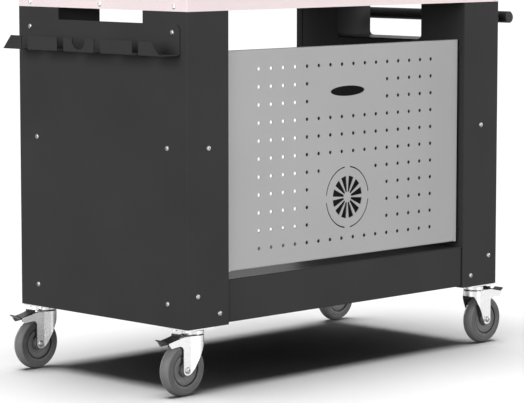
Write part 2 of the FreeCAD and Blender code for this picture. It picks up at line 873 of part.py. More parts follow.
def flap_catch():
    """Left catch: a riveted foot on the column's return and a magnet block behind the flap."""
    wall_x = f"-{INNER_X}"
    middle_z = f"({FLAP_BOTTOM} + flap_height - catch_drop)"
    low_z = f"({middle_z} - catch_height / 2)"
    behind = f"({FLAP_FRONT} + flap_fold + fit_gap)"
    foot = box("catch_foot", ("gauge", f"{behind} + catch_height / 2 - ({FLAP_FRONT} - catch_lip)",
                              "catch_height"),
               (wall_x, f"{FLAP_FRONT} - catch_lip", low_z))
    block = box("catch_block", ("flap_gap + catch_height", "catch_height / 2", "catch_height"),
                (wall_x, behind, low_z))
    rivet = cylinder("catch_rivet", "catch_height / 5", "2 * gauge",
                     (wall_x, f"{FLAP_FRONT} + gauge / 2", middle_z), ALONG_X)
    return fuse("catch_welded", foot, block, rivet)


def flap_fittings():
    for label, master in (("flap_hinge", flap_hinge()), ("flap_catch", flap_catch())):
        node(copy("left_" + label, master), "left_" + label)
        node(mirrored("right_" + label, master), "right_" + label)


# Tool rack on the left side

def tool_rack():
    """Folded rack: back plate, shelf and a slotted lip with slanted ends."""
    half = f"({HALF_DEPTH} - rack_inset)"
    body = new_body("rack_folded")
    back = sketch_on(body, "YZ", "rack_back", f"-{HALF_WIDTH}")
    polygon(back, [
        (f"-{half}", "rack_level"), (half, "rack_level"),
        (half, "rack_level + rack_height"), (f"-{half}", "rack_level + rack_height"),
    ])
    plate = pad(body, back, "gauge", backwards=True)
    high = size("rack_level") + size("rack_height")

    def top_corner(middle, tangent):
        return near(abs(tangent.x), 1) and near(middle.z, high)

    round_edges(body, plate, "rack_corner", top_corner)
    floor_sketch = sketch_on(body, "XY", "rack_floor", "rack_level")
    polygon(floor_sketch, [
        (f"-{HALF_WIDTH} - rack_reach", f"-{half}"), (f"-{HALF_WIDTH} - gauge / 2", f"-{half}"),
        (f"-{HALF_WIDTH} - gauge / 2", half), (f"-{HALF_WIDTH} - rack_reach", half),
    ])
    pad(body, floor_sketch, "gauge")
    lip = sketch_on(body, "YZ", "rack_lip", f"-{HALF_WIDTH} - rack_reach")
    polygon(lip, [
        (f"-{half}", "rack_level"), (half, "rack_level"),
        (f"{half} - rack_lip_slant", "rack_level + rack_lip"),
        (f"-{half} + rack_lip_slant", "rack_level + rack_lip"),
    ])
    lipped = pad(body, lip, "gauge")
    outer_x = -size("table_width") / 2 - size("rack_reach")
    level = size("rack_level")

    def lip_bend(middle, tangent):
        return near(abs(tangent.y), 1) and near(middle.x, outer_x) and near(middle.z, level)

    round_edges(body, lipped, "bend_radius", lip_bend)
    slots = sketch_on(body, "XY", "rack_slots", "rack_level - gauge")
    for step in (-1.5, -0.5, 0.5, 1.5):
        near_y = f"{step} * rack_slot_pitch - rack_slot / 2"
        far_y = f"{step} * rack_slot_pitch + rack_slot / 2"
        polygon(slots, [
            (f"-{HALF_WIDTH} - rack_reach - gauge", near_y),
            (f"-{HALF_WIDTH} - rack_reach + rack_slot_depth", near_y),
            (f"-{HALF_WIDTH} - rack_reach + rack_slot_depth", far_y),
            (f"-{HALF_WIDTH} - rack_reach - gauge", far_y),
        ])
    pocket(body, slots, backwards=True, length="rack_lip + 2 * gauge")
    notch_outer = f"-{HALF_WIDTH} - rack_reach - gauge"
    notch_level = "(rack_level + rack_lip - rack_notch_depth + rack_notch / 2)"
    notch_round = cylinder("rack_notch_round", "rack_notch / 2", "4 * gauge",
                           (notch_outer, 0, notch_level), ALONG_X)
    notch_mouth = box("rack_notch_mouth", ("4 * gauge", "rack_notch", "rack_notch_depth"),
                      (notch_outer, "-rack_notch / 2", notch_level))
    tools = [notch_round, notch_mouth]
    for sign in ("-", ""):
        tools.append(cylinder("rack_hole", "screw_hole / 2", "4 * gauge",
                              (f"-{HALF_WIDTH} - 2 * gauge", f"{sign}{RACK_SCREW_Y}",
                               "rack_level + rack_height - rack_screw_drop"), ALONG_X))
    finished = cut("rack_finished", body, *tools)
    node(copy("tool_rack", finished, z="caster_height"), "tool_rack")


# Handle on the right side

HANDLE_X = "(table_width / 2 + handle_standoff)"
HANDLE_Z = "(caster_height + handle_level)"


def handle():
    """Round push bar on two posts, with a domed plug in each end."""
    half = f"({HALF_DEPTH} - handle_inset)"
    plug_rim = "gauge"
    outer = cylinder("bar_outer", "handle_diameter / 2", f"2 * {half} - 2 * {plug_rim}",
                     (HANDLE_X, f"-{half} + {plug_rim}", HANDLE_Z), ALONG_Y)
    bore = cylinder("bar_bore", "handle_diameter / 2 - handle_wall", f"2 * {half}",
                    (HANDLE_X, f"-{half}", HANDLE_Z), ALONG_Y)
    node(cut("handle_bar", outer, bore), "handle_bar")

    plug = new_body("plug_turned")
    profile = sketch_on(plug, "XY", "plug_profile")
    inner = "handle_diameter / 2 - handle_wall - running_gap"
    polygon(profile, [
        ("0", "-handle_diameter / 2"), (inner, "-handle_diameter / 2"), (inner, "0"),
        ("handle_diameter / 2", "0"), ("handle_diameter / 2", "gauge / 2"),
        ("handle_diameter / 2 - gauge", "gauge"), ("0", "gauge"),
    ])
    revolve(plug, profile, "V_Axis")
    plugs = [
        copy("plug_back", plug, x=HANDLE_X, y=f"{half} - {plug_rim}", z=HANDLE_Z),
        copy("plug_front", plug, x=HANDLE_X, y=f"-{half} + {plug_rim}", z=HANDLE_Z,
             rotation=HALF_TURN),
    ]
    node(group("handle_end_plugs", *plugs), "handle_end_plugs")

    brackets = []
    bolts = []
    for sign in ("-", ""):
        y = sign + BRACKET_Y
        post = cylinder("bracket_post", "bracket_post / 2", "handle_standoff",
                        (HALF_WIDTH, y, HANDLE_Z), ALONG_X)
        foot = cylinder("bracket_foot", "bracket_flange / 2", "2 * gauge",
                        (HALF_WIDTH, y, HANDLE_Z), ALONG_X)
        saddle = cylinder("bracket_saddle", "handle_diameter / 2 + gauge", "bracket_flange",
                          (HANDLE_X, f"{y} - bracket_flange / 2", HANDLE_Z), ALONG_Y)
        seat = cylinder("bracket_seat", "handle_diameter / 2 + running_gap", "2 * bracket_flange",
                        (HANDLE_X, f"{y} - bracket_flange", HANDLE_Z), ALONG_Y)
        front_half = box("bracket_open_half",
                         ("handle_diameter", "2 * bracket_flange", "2 * handle_diameter"),
                         (HANDLE_X, f"{y} - bracket_flange", f"{HANDLE_Z} - handle_diameter"))
        bore = cylinder("bracket_bore", "caster_bolt / 2 + running_gap", "handle_standoff / 2",
                        (HALF_WIDTH, y, HANDLE_Z), ALONG_X)
        brackets.append(cut("bracket_cut", fuse("bracket_fused", post, foot, saddle),
                            seat, front_half, bore))
        head = cylinder("bracket_bolt_head", "caster_bolt_head / 2", "caster_bolt_height",
                        (f"{HALF_WIDTH} - gauge - caster_bolt_height", y, HANDLE_Z), ALONG_X)
        shank = cylinder("bracket_bolt_shank", "caster_bolt / 2", "handle_standoff / 2 - gauge / 2",
                         (f"{HALF_WIDTH} - 1.5 * gauge", y, HANDLE_Z), ALONG_X)
        bolts.append(fuse("bracket_bolt", head, shank))
    node(group("handle_brackets", *brackets), "handle_brackets")
    node(group("handle_bolts", *bolts), "handle_bolts")


# Button-head screws

def button_screw():
    """One screw, head up, with the underside of its head at the origin."""
    body = new_body("button_screw")
    profile = sketch_on(body, "XZ", "screw_profile")
    polygon(profile, [
        ("0", "-screw_length"),
        ("screw_shank / 2", "-screw_length"),
        ("screw_shank / 2", "0"),
        ("screw_head / 2", "0"),
        ("screw_head / 2", "screw_dome * 0.4"),
        ("screw_head * 0.3", "screw_dome"),
        ("0", "screw_dome"),
    ])
    revolve(body, profile, "V_Axis")
    return body


def body_screws():
    """All visible screws, grouped by what they hold."""
    screw = button_screw()
    faces = {
        "-": Rotation(Vector(0, 1, 0), -90),
        "": Rotation(Vector(0, 1, 0), 90),
    }
    sides = []
    caps = []
    for sign, turn in faces.items():
        for y, z in side_screw_seats():
            sides.append(copy("side_screw", screw, f"{sign}{HALF_WIDTH}", y,
                              f"caster_height + {z}", turn))
        for y in ("-" + TOP_SCREW_Y, "0", TOP_SCREW_Y):
            caps.append(copy("cap_screw", screw, f"{sign}{HALF_WIDTH}", y,
                             f"{BODY_TOP} + top_screw_level", turn))
    node(group("side_screws", *sides), "side_screws")
    node(group("worktop_screws", *caps), "worktop_screws")

    legs = []
    for deep_sign, turn in (("-", UPRIGHT), ("", ALONG_Y)):
        for sign in faces:
            for inset, z in leg_screw_seats():
                legs.append(copy("leg_screw", screw, f"{sign}({HALF_WIDTH} - {inset})",
                                 f"{deep_sign}{HALF_DEPTH}", f"caster_height + {z}", turn))
    node(group("leg_screws", *legs), "leg_screws")

    racks = []
    for sign in ("-", ""):
        racks.append(copy("rack_screw", screw, f"-{HALF_WIDTH} - gauge", f"{sign}{RACK_SCREW_Y}",
                          "caster_height + rack_level + rack_height - rack_screw_drop", faces["-"]))
    node(group("rack_screws", *racks), "rack_screws")


# Casters, drawn once about the swivel axis with the wheel trailing to -X

def caster_bolt_seats(side_sign, deep_sign):
    """The four bolts of one caster, seen from above."""
    seats = []
    for across in ("-", "+"):
        for deep in ("-", "+"):
            x = f"{side_sign}({HALF_WIDTH} - caster_inset_across) {across} plate_bolt_across / 2"
            y = f"{deep_sign}({HALF_DEPTH} - caster_inset_deep) {deep} plate_bolt_deep / 2"
            seats.append((x, y))
    return seats


def caster_plate():
    """Mounting plate with the pressed cup that covers the ball race."""
    body = new_body("caster_plate_master")
    outline = sketch_on(body, "XY", "plate_outline", "caster_height - mount_plate")
    polygon(outline, [
        ("-plate_length / 2", "-plate_width / 2"), ("plate_length / 2", "-plate_width / 2"),
        ("plate_length / 2", "plate_width / 2"), ("-plate_length / 2", "plate_width / 2"),
    ])
    plate = pad(body, outline, "mount_plate")
    round_edges(body, plate, "2 * bend_radius", lambda middle, tangent: near(abs(tangent.z), 1))
    cup = sketch_on(body, "XZ", "cup_profile")
    polygon(cup, [
        ("kingpin_diameter / 2", "cup_rim"),
        ("fork_crown / 2 - cup_chamfer", "cup_rim"),
        ("fork_crown / 2", "cup_rim + cup_chamfer"),
        ("fork_crown / 2", "caster_height - mount_plate - cup_shoulder"),
        ("fork_crown / 2 - cup_shoulder", "caster_height - mount_plate / 2"),
        ("kingpin_diameter / 2", "caster_height - mount_plate / 2"),
    ])
    revolve(body, cup, "V_Axis")
    holes = sketch_on(body, "XY", "plate_holes", "cup_rim - fit_gap")
    circle(holes, "0", "0", "kingpin_diameter + 2 * running_gap")
    for across in ("-", ""):
        for deep in ("-", ""):
            circle(holes, f"{across}plate_bolt_across / 2", f"{deep}plate_bolt_deep / 2",
                   "caster_bolt + 2 * fit_gap")
    pocket(body, holes, backwards=True)
    return body


def ball_race():
    """Lower race ring, turning with the fork just under the cup."""
    ring = cylinder("race_ring", "fork_crown / 2 - race_inset", "race_height", (0, 0, "fork_level"))
    bore = cylinder("race_bore", "kingpin_diameter", "3 * race_height",
                    (0, 0, "fork_level - race_height"))
    return cut("race_master", ring, bore)


def kingpin():
    """Riveted pin that carries the fork under the plate."""
    head_top = "(fork_level - fork_gauge - fit_gap)"
    shank = cylinder("kingpin_shank", "kingpin_diameter / 2", f"caster_height - {head_top}",
                     (0, 0, head_top))
    head = cylinder("kingpin_head", "kingpin_head / 2", "kingpin_head_height",
                    (0, 0, f"{head_top} - kingpin_head_height"))
    return fuse("kingpin_master", shank, head)


WHEEL_X = "(-caster_trail)"
AXLE_Z = "wheel_diameter / 2"
FORK_HALF = "(fork_inside / 2)"
FORK_OUTSIDE = "(fork_inside + 2 * fork_gauge)"


def fork_side_profile():
    """Cheek seen from the side: tip at the axle, brake arm behind, slanted leading edge."""
    body = new_body("fork_profile")
    sketch = sketch_on(body, "XZ", "fork_side")
    tip_low = f"{AXLE_Z} - fork_tip"
    arm_end = f"{WHEEL_X} - fork_arm"
    arm_high = "fork_level - fork_arm_drop"
    arm_low = f"{arm_high} - fork_arm_depth"
    skirt_front = "fork_crown / 2 + crown_lip"
    corners = {
        "tip_trailing": (f"{WHEEL_X} - fork_tip", tip_low),
        "tip_leading": (f"{WHEEL_X} + fork_tip_flat", tip_low),
        "edge_low": (f"{WHEEL_X} + fork_edge_reach", f"{AXLE_Z} + fork_edge_rise"),
        "edge_high": ("fork_edge_top", "fork_level - fork_skirt - fork_throat"),
        "skirt_low": (skirt_front, "fork_level - fork_skirt"),
        "skirt_high": (skirt_front, "fork_level"),
        "arm_root": (f"{WHEEL_X} - fork_tip - crown_lip", "fork_level"),
        "arm_high": (arm_end, arm_high),
        "arm_low": (f"{arm_end} + fork_arm_slant", arm_low),
        "armpit": (f"{WHEEL_X} - fork_tip", f"{arm_low} + fork_arm_taper"),
    }
    polygon(sketch, list(corners.values()))
    solid = pad(body, sketch, "2 * fork_crown", midplane=True)
    radii = {
        "tip_trailing": "fork_tip * 0.95",
        "tip_leading": "fork_tip",
        "edge_low": "fork_crown",
        "arm_high": "fork_arm_round",
        "arm_low": "fork_arm_round",
        "armpit": "fork_tip",
    }
    for name, radius in radii.items():
        x, z = (value(text) for text in corners[name])

        def here(middle, tangent, x=x, z=z):
            return near(abs(tangent.y), 1) and near(middle.x, x) and near(middle.z, z)

        solid = round_edges(body, solid, radius, here)
    return body


def fork_block(label, half, radius, rear, level, height):
    """Round crown with two legs' outline behind it, parallel at first and then flaring out to the crown."""
    body = new_body(label + "_legs")
    sketch = sketch_on(body, "XY", label + "_plan", level)
    flare_y = f"({radius} * cos(fork_flare))"
    flare_x = f"(-{radius} * sin(fork_flare))"
    start_x = f"{flare_x} - ({flare_y} - {half}) / tan(fork_flare)"
    corners = []
    for sign in ("-", ""):
        side = [(rear, sign + half), (start_x, sign + half), (flare_x, sign + flare_y),
                ("0", sign + flare_y)]
        corners += side if sign == "-" else side[::-1]
    polygon(sketch, corners)
    pad(body, sketch, height)
    crown = cylinder(label + "_crown", radius, height, (0, 0, level))
    return fuse(label, crown, body)


def fork():
    """Pressed fork: a round crown under the race, two cheeks and the brake arms behind."""
    height = "(fork_level - wheel_diameter / 2 + 2 * fork_tip)"
    low = f"(fork_level - {height})"
    rear = f"{WHEEL_X} - fork_arm - crown_lip"
    outer = fork_block("fork_outer", f"({FORK_OUTSIDE} / 2)", "(fork_crown / 2)", rear, low, height)
    inner = fork_block("fork_inner", FORK_HALF, "(fork_crown / 2 - fork_gauge)",
                       f"{rear} - crown_lip", f"{low} - fork_gauge", height)
    rear_gap = box("fork_rear_gap", ("fork_arm - fork_gauge", "fork_inside", "2 * fork_arm"),
                   (rear, f"-{FORK_HALF}", "fork_level - fork_arm"))
    shell = cut("fork_shell", outer, inner, rear_gap)

    side_profile = fork_side_profile()
    pressed = doc.addObject("Part::MultiCommon", "fork_pressed")
    pressed.Shapes = [shell, side_profile]
    kingpin_hole = cylinder("fork_kingpin_hole", "kingpin_diameter / 2 + running_gap",
                            "4 * fork_gauge", (0, 0, "fork_level - 3 * fork_gauge"))
    axle_hole = cylinder("fork_axle_hole", "axle_diameter / 2 + running_gap", "2 * fork_inside",
                         (WHEEL_X, "-fork_inside", AXLE_Z), ALONG_Y)
    drilled = cut("fork_drilled", pressed, kingpin_hole, axle_hole)
    pin = cylinder("fork_pedal_pin", "pedal_pin / 2", FORK_OUTSIDE,
                   (f"{WHEEL_X} - pedal_pin_reach", f"-{FORK_OUTSIDE} / 2", "pedal_pin_level"), ALONG_Y)
    return fuse("fork_master", drilled, pin)


def axle():
    """Axle bolt with its head and nut outside the cheeks."""
    half = f"({FORK_OUTSIDE} / 2)"
    shank = cylinder("axle_shank", "axle_diameter / 2", f"2 * {half}", (WHEEL_X, f"-{half}", AXLE_Z),
                     ALONG_Y)
    ends = []
    for y in (f"-{half} - axle_head_height", half):
        ends.append(hexagon("axle_end", "axle_head", "axle_head_height", (WHEEL_X, y, AXLE_Z),
                            ALONG_Y))
    return fuse("axle_master", shank, *ends)


def hub():
    """Moulded wheel centre with a dished web and a boss on the axle."""
    body = new_body("hub_master")
    sketch = sketch_on(body, "XY", "hub_profile")
    rim = "(rim_diameter / 2)"
    rim_side = "(tyre_width / 2 - rim_lip)"
    corners = []
    for sign in ("-", ""):
        half = [
            ("axle_diameter / 2 + running_gap", f"{sign}hub_length / 2"),
            ("hub_boss / 2", f"{sign}hub_length / 2"),
            ("hub_boss / 2 + rim_slope", f"{sign}hub_web / 2"),
            (f"{rim} - rim_land - rim_slope", f"{sign}hub_web / 2"),
            (f"{rim} - rim_land", f"{sign}{rim_side}"),
            (rim, f"{sign}{rim_side}"),
        ]
        corners += half if sign == "-" else half[::-1]
    polygon(sketch, corners)
    revolve(body, sketch, "V_Axis")
    return body


def tyre():
    """Solid rubber ring with flat faces and a crowned tread."""
    body = new_body("tyre_master")
    sketch = sketch_on(body, "XY", "tyre_profile")
    corners = []
    for sign in ("-", ""):
        half = [
            ("rim_diameter / 2", f"{sign}(tyre_width / 2 - rim_lip)"),
            ("rim_diameter / 2 + rim_lip", f"{sign}tyre_width / 2"),
            ("wheel_diameter / 2 - tread_drop", f"{sign}tyre_width / 2"),
            ("wheel_diameter / 2", f"{sign}tread_flat / 2"),
        ]
        corners += half if sign == "-" else half[::-1]
    polygon(sketch, corners)
    ring = revolve(body, sketch, "V_Axis")
    outer = size("wheel_diameter") / 2

    def tread_edge(middle, tangent):
        return near(math.hypot(middle.x, middle.z), outer) and near(tangent.y, 0)

    round_edges(body, ring, "tread_round", tread_edge)
    return body


def brake_pedal():
    """Toe lever over the wheel, with the shoe that presses on the tread."""
    body = new_body("pedal_plate")
    sketch = sketch_on(body, "XZ", "pedal_profile")
    pin_x = f"({WHEEL_X} - pedal_pin_reach)"
    pin_z = "pedal_pin_level"
    bar_x = f"{pin_x} + pedal_bar_reach"
    bar_top = f"{pin_z} + pedal_bar_rise"
    bar_foot = f"{bar_top} - pedal_bar_step"
    dip_x = f"{pin_x} - pedal_dip_reach"
    dip_z = f"{pin_z} + pedal_dip_rise"
    toe_x = f"{pin_x} - pedal_toe_reach"
    toe_z = f"{pin_z} + pedal_toe_rise"
    outline = {
        "bar_front": (bar_x, bar_top),
        "bar_back": (f"{bar_x} - pedal_bar_length", bar_top),
        "bar_root": (f"{bar_x} - pedal_bar_length", bar_foot),
        "dip": (dip_x, dip_z),
        "toe": (toe_x, toe_z),
        "toe_under": (f"{toe_x} + pedal_gauge / 2", f"{toe_z} - pedal_gauge"),
        "belly": (dip_x, f"{dip_z} - pedal_gauge"),
        "boss_back": (f"{pin_x} - pedal_boss", f"{pin_z} - pedal_boss"),
        "boss_front": (f"{pin_x} + pedal_boss", f"{pin_z} - pedal_boss"),
        "neck": (f"{pin_x} + pedal_boss", f"{bar_foot} - 2 * pedal_gauge"),
        "bar_under": (bar_x, f"{bar_foot} - pedal_gauge / 2"),
    }
    polygon(sketch, list(outline.values()))
    solid = pad(body, sketch, "pedal_width", midplane=True)
    bends = {
        "dip": "pedal_bend",
        "belly": "pedal_bend + pedal_gauge",
        "boss_back": "pedal_boss * 0.9",
        "boss_front": "pedal_boss * 0.9",
        "bar_front": "pedal_gauge / 2",
    }
    for corner, radius in bends.items():
        x, z = (value(text) for text in outline[corner])

        def here(middle, tangent, x=x, z=z):
            return near(abs(tangent.y), 1) and near(middle.x, x) and near(middle.z, z)

        solid = round_edges(body, solid, radius, here)
    hole = cylinder("pedal_pin_hole", "pedal_pin / 2 + running_gap", "2 * pedal_width",
                    (pin_x, "-pedal_width", pin_z), ALONG_Y)
    shoe = box("pedal_shoe", ("shoe_length", "shoe_width", "3 * shoe_length"),
               (f"{pin_x} - shoe_reach", "-shoe_width / 2", f"{pin_z} - 3 * shoe_length"))
    tread = cylinder("pedal_tread_clearance", "wheel_diameter / 2 + shoe_gap", "2 * pedal_width",
                     (WHEEL_X, "-pedal_width", AXLE_Z), ALONG_Y)
    return cut("pedal_master", fuse("pedal_fused", body, shoe), hole, tread)


def hexagon(label, across_corners, height, base, rotation=None):
    """A hexagonal head or nut."""
    prism = doc.addObject("Part::Prism", label)
    prism.Polygon = 6
    bind(prism, "Circumradius", f"{across_corners} / 2")
    bind(prism, "Height", height)
    return place(prism, *base, rotation=rotation)


def caster_bolts():
    """Plate bolts, with their heads under the plates and nuts inside the trays."""
    plate_low = "(caster_height - mount_plate)"
    bolts = []
    for side_sign in ("-", ""):
        for deep_sign in ("-", ""):
            for x, y in caster_bolt_seats(side_sign, deep_sign):
                shank = cylinder("bolt_shank", "caster_bolt / 2", "mount_plate + tray_gauge",
                                 (x, y, plate_low))
                head = hexagon("bolt_head", "caster_bolt_head", "caster_bolt_height",
                               (x, y, f"{plate_low} - caster_bolt_height"))
                nut = hexagon("bolt_nut", "caster_bolt_head", "caster_bolt_height",
                              (x, y, "caster_height + tray_gauge"))
                bolts.append(fuse("bolt", shank, head, nut))
    node(group("caster_bolts", *bolts), "caster_bolts")


def casters():
    """Four casters; the left pair trails to the left and the right pair to the right."""
    masters = {
        "caster_plate": caster_plate(),
        "ball_race": ball_race(),
        "kingpin": kingpin(),
        "fork": fork(),
        "axle_bolt": axle(),
        "hub": hub(),
        "tyre": tyre(),
        "brake_pedal": brake_pedal(),
    }
    wheel_parts = ("hub", "tyre")
    for side, side_sign in (("left", "-"), ("right", "")):
        for end, deep_sign in (("front", "-"), ("back", "")):
            x = f"{side_sign}({HALF_WIDTH} - caster_inset_across)"
            y = f"{deep_sign}({HALF_DEPTH} - caster_inset_deep)"
            turn = HALF_TURN if side == "right" else None
            for piece, master in masters.items():
                label = f"{end}_{side}_{piece}"
                if piece in wheel_parts:
                    wheel_x = f"{x} {'+' if side == 'right' else '-'} caster_trail"
                    node(copy(label, master, wheel_x, y, AXLE_Z), label)
                else:
                    node(copy(label, master, x, y, 0, turn), label)


def check_and_write():
    """Stop on any failed object or bad shape, then write one file for each piece."""
    doc.recompute()
    for item in doc.Objects:
        if "Invalid" in item.State or "Error" in item.State:
            raise RuntimeError(f"{item.Label} failed: {item.State}")
    for item in nodes:
        if item.Shape.isNull() or not item.Shape.isValid() or not item.Shape.Solids:
            raise RuntimeError(f"{item.Label} has no valid solid")
    os.makedirs("parts", exist_ok=True)
    for item in nodes:
        item.Shape.exportStep(os.path.join("parts", item.Label + ".step"))
        print(f"{item.Label}: {len(item.Shape.Solids)} solid(s), {item.Shape.Volume / 1000:.1f} cm3")


columns()
rail("front_rail", -1)
rail("back_rail", 1)
bottom_shelf()
worktop()
worktop_frame()
front_flap()
flap_fittings()
tool_rack()
handle()
body_screws()
caster_bolts()
casters()
check_and_write()
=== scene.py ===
"""Looks of the outdoor pizza oven table: materials, round wheels, screws, floor, light and camera."""
import bmesh
import bpy
import json
import math
from mathutils import Euler, Matrix, Vector


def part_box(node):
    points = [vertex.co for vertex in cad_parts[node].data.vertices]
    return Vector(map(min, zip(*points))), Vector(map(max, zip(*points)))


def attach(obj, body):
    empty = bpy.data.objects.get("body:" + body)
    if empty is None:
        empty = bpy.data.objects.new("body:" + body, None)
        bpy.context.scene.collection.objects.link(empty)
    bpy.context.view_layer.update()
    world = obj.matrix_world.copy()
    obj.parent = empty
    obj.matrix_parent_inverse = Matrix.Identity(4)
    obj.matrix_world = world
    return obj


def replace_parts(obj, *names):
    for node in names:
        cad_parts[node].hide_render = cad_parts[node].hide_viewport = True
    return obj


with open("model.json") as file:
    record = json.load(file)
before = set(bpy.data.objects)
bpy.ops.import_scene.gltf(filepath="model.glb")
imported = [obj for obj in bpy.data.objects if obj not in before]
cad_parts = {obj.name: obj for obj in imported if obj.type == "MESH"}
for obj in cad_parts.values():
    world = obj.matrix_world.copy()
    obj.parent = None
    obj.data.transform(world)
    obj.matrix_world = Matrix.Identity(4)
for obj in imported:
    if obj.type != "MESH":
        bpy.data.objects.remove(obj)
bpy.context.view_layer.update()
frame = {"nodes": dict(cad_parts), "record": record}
NODES = frame["nodes"]

SIDES = ("left", "right")
ENDS = ("front", "back")
CASTERS = [f"{end}_{side}" for end in ENDS for side in SIDES]

# Camera, from the photograph's straight edges
CAMERA_PLACE = (-4.46307, -4.46763, 1.09096)
CAMERA_TURN = (83.6754, 0, -44.8959)
CAMERA_LENS = 172.929


def srgb(*levels):
    """A colour given as 0-255 picture levels, as the shader's linear values."""
    if len(levels) == 1:
        levels = levels * 3
    linear = []
    for level in levels:
        part = level / 255
        linear.append(part / 12.92 if part <= 0.04045 else ((part + 0.055) / 1.055) ** 2.4)
    return (*linear, 1)


# Materials

NOISE_MIDDLE = (0.3, 0.7)


class Shader:
    """Short ways to build one node material."""

    def __init__(self, name, roughness=0.5, metallic=0.0, **sockets):
        self.material = bpy.data.materials.new(name)
        self.material.use_nodes = True
        self.tree = self.material.node_tree
        self.surface = self.tree.nodes["Principled BSDF"]
        self.surface.inputs["Roughness"].default_value = roughness
        self.surface.inputs["Metallic"].default_value = metallic
        for socket, level in sockets.items():
            self.surface.inputs[socket.replace("_", " ")].default_value = level
        self.place = self.add("ShaderNodeTexCoord").outputs["Object"]

    def add(self, kind, **settings):
        made = self.tree.nodes.new(kind)
        for key, setting in settings.items():
            setattr(made, key, setting)
        return made

    def link(self, source, target):
        self.tree.links.new(source, target)

    def noise(self, scale, detail=3, rough=0.5):
        """Noise of so many grains a metre."""
        made = self.add("ShaderNodeTexNoise")
        made.inputs["Scale"].default_value = scale
        made.inputs["Detail"].default_value = detail
        made.inputs["Roughness"].default_value = rough
        self.link(self.place, made.inputs["Vector"])
        return made.outputs["Fac"]

    def across(self, start, end):
        """0 to 1 over a stretch of X."""
        parts = self.add("ShaderNodeSeparateXYZ")
        self.link(self.place, parts.inputs[0])
        made = self.add("ShaderNodeMapRange")
        made.inputs["From Min"].default_value = start
        made.inputs["From Max"].default_value = end
        self.link(parts.outputs["X"], made.inputs["Value"])
        return made.outputs["Result"]

    def ramp(self, source, low, high):
        """Two colours over a noise's middle values."""
        made = self.add("ShaderNodeValToRGB")
        for element, position, colour in zip(made.color_ramp.elements, NOISE_MIDDLE, (low, high)):
            element.position = position
            element.color = colour
        self.link(source, made.inputs["Fac"])
        return made.outputs["Color"]

    def spread(self, source, low, high):
        """A noise's middle values stretched between two numbers."""
        made = self.add("ShaderNodeMapRange")
        sockets = ("From Min", "From Max", "To Min", "To Max")
        for socket, level in zip(sockets, (*NOISE_MIDDLE, low, high)):
            made.inputs[socket].default_value = level
        self.link(source, made.inputs["Value"])
        return made.outputs["Result"]

    def colour(self, source):
        self.link(source, self.surface.inputs["Base Color"])

    def uneven_gloss(self, scale, middle, change):
        """Roughness that varies about a middle value."""
        source = self.spread(self.noise(scale), middle - change, middle + change)
        self.link(source, self.surface.inputs["Roughness"])

    def bump(self, height, strength, distance, after=None):
        made = self.add("ShaderNodeBump")
        made.inputs["Strength"].default_value = strength
        made.inputs["Distance"].default_value = distance
        self.link(height, made.inputs["Height"])
        if after is not None:
            self.link(after, made.inputs["Normal"])
        self.link(made.outputs["Normal"], self.surface.inputs["Normal"])
        return made.outputs["Normal"]

    def mix(self, amount, first, second):
        made = self.add("ShaderNodeMix", data_type="RGBA")
        self.link(amount, made.inputs["Factor"])
        self.link(first, made.inputs["A"])
        self.link(second, made.inputs["B"])
        return made.outputs["Result"]


def powder_coat(name, level, roughness, grain=900, change=0.03):
    """Powder-coated sheet: fine orange peel, a faint drift of tone and a slightly uneven sheen."""
    paint = Shader(name, roughness, IOR=1.45, Specular_IOR_Level=0.03)
    low, high = ([part * (1 + way * change) for part in level] for way in (-1, 1))
    paint.colour(paint.ramp(paint.noise(6, detail=2), srgb(*low), srgb(*high)))
    paint.uneven_gloss(grain / 3, roughness, 0.05)
    peel = paint.bump(paint.noise(grain, detail=2), strength=0.12, distance=0.0002)
    paint.bump(paint.noise(25, detail=1), strength=0.05, distance=0.0006, after=peel)
    return paint.material


# How far from the middle the panel's painted shade runs, and its levels at the lit left end and the
# darker, painted-shade right end
PANEL_SHADE_REACH = 0.45
PANEL_SHADE_LEVELS = ((165, 169), (156, 160))


def flap_paint():
    """Pale satin grey sheet with a fine pearly grain, and painted shade that makes it a little darker
    towards the right.
    """
    paint = Shader("flap_grey", 0.42, IOR=1.45)
    # Painted shade: the colour runs across the panel from the left end's levels to the darker right
    # end's.
    across = paint.across(-PANEL_SHADE_REACH, PANEL_SHADE_REACH)
    drift = paint.noise(4, detail=2)
    left, right = (paint.ramp(drift, srgb(low), srgb(high)) for low, high in PANEL_SHADE_LEVELS)
    paint.colour(paint.mix(across, left, right))
    paint.uneven_gloss(500, 0.42, 0.04)
    peel = paint.bump(paint.noise(1400, detail=2), strength=0.1, distance=0.0001)
    paint.bump(paint.noise(20, detail=1), strength=0.05, distance=0.0005, after=peel)
    return paint.material


def zinc(name, low, high, roughness):
    """Zinc plate: soft mirror with a fine mottle and an uneven sheen."""
    metal = Shader(name, roughness, 1.0)
    mottle = metal.noise(90, detail=4, rough=0.6)
    metal.colour(metal.ramp(mottle, srgb(low), srgb(high)))
    metal.uneven_gloss(420, roughness, 0.06)
    metal.bump(metal.noise(700), strength=0.08, distance=0.0001)
    return metal.material


def rubber(name, low, high):
    """Grey tyre rubber with moulding marks and a dusty bloom."""
    tyre = Shader(name, 0.62)
    bloom = tyre.noise(60, detail=4, rough=0.6)
    tyre.colour(tyre.ramp(bloom, srgb(low), srgb(high)))
    tyre.uneven_gloss(300, 0.625, 0.075)
    tyre.bump(tyre.noise(1200), strength=0.3, distance=0.0003)
    return tyre.material


def moulded(name, level, roughness):
    """Moulded plastic with a fine eroded texture."""
    plastic = Shader(name, roughness, Specular_IOR_Level=0.25)
    plastic.colour(plastic.ramp(plastic.noise(40), srgb(level * 0.94), srgb(level * 1.05)))
    plastic.uneven_gloss(500, roughness, 0.06)
    plastic.bump(plastic.noise(1600, detail=2), strength=0.25, distance=0.0002)
    return plastic.material


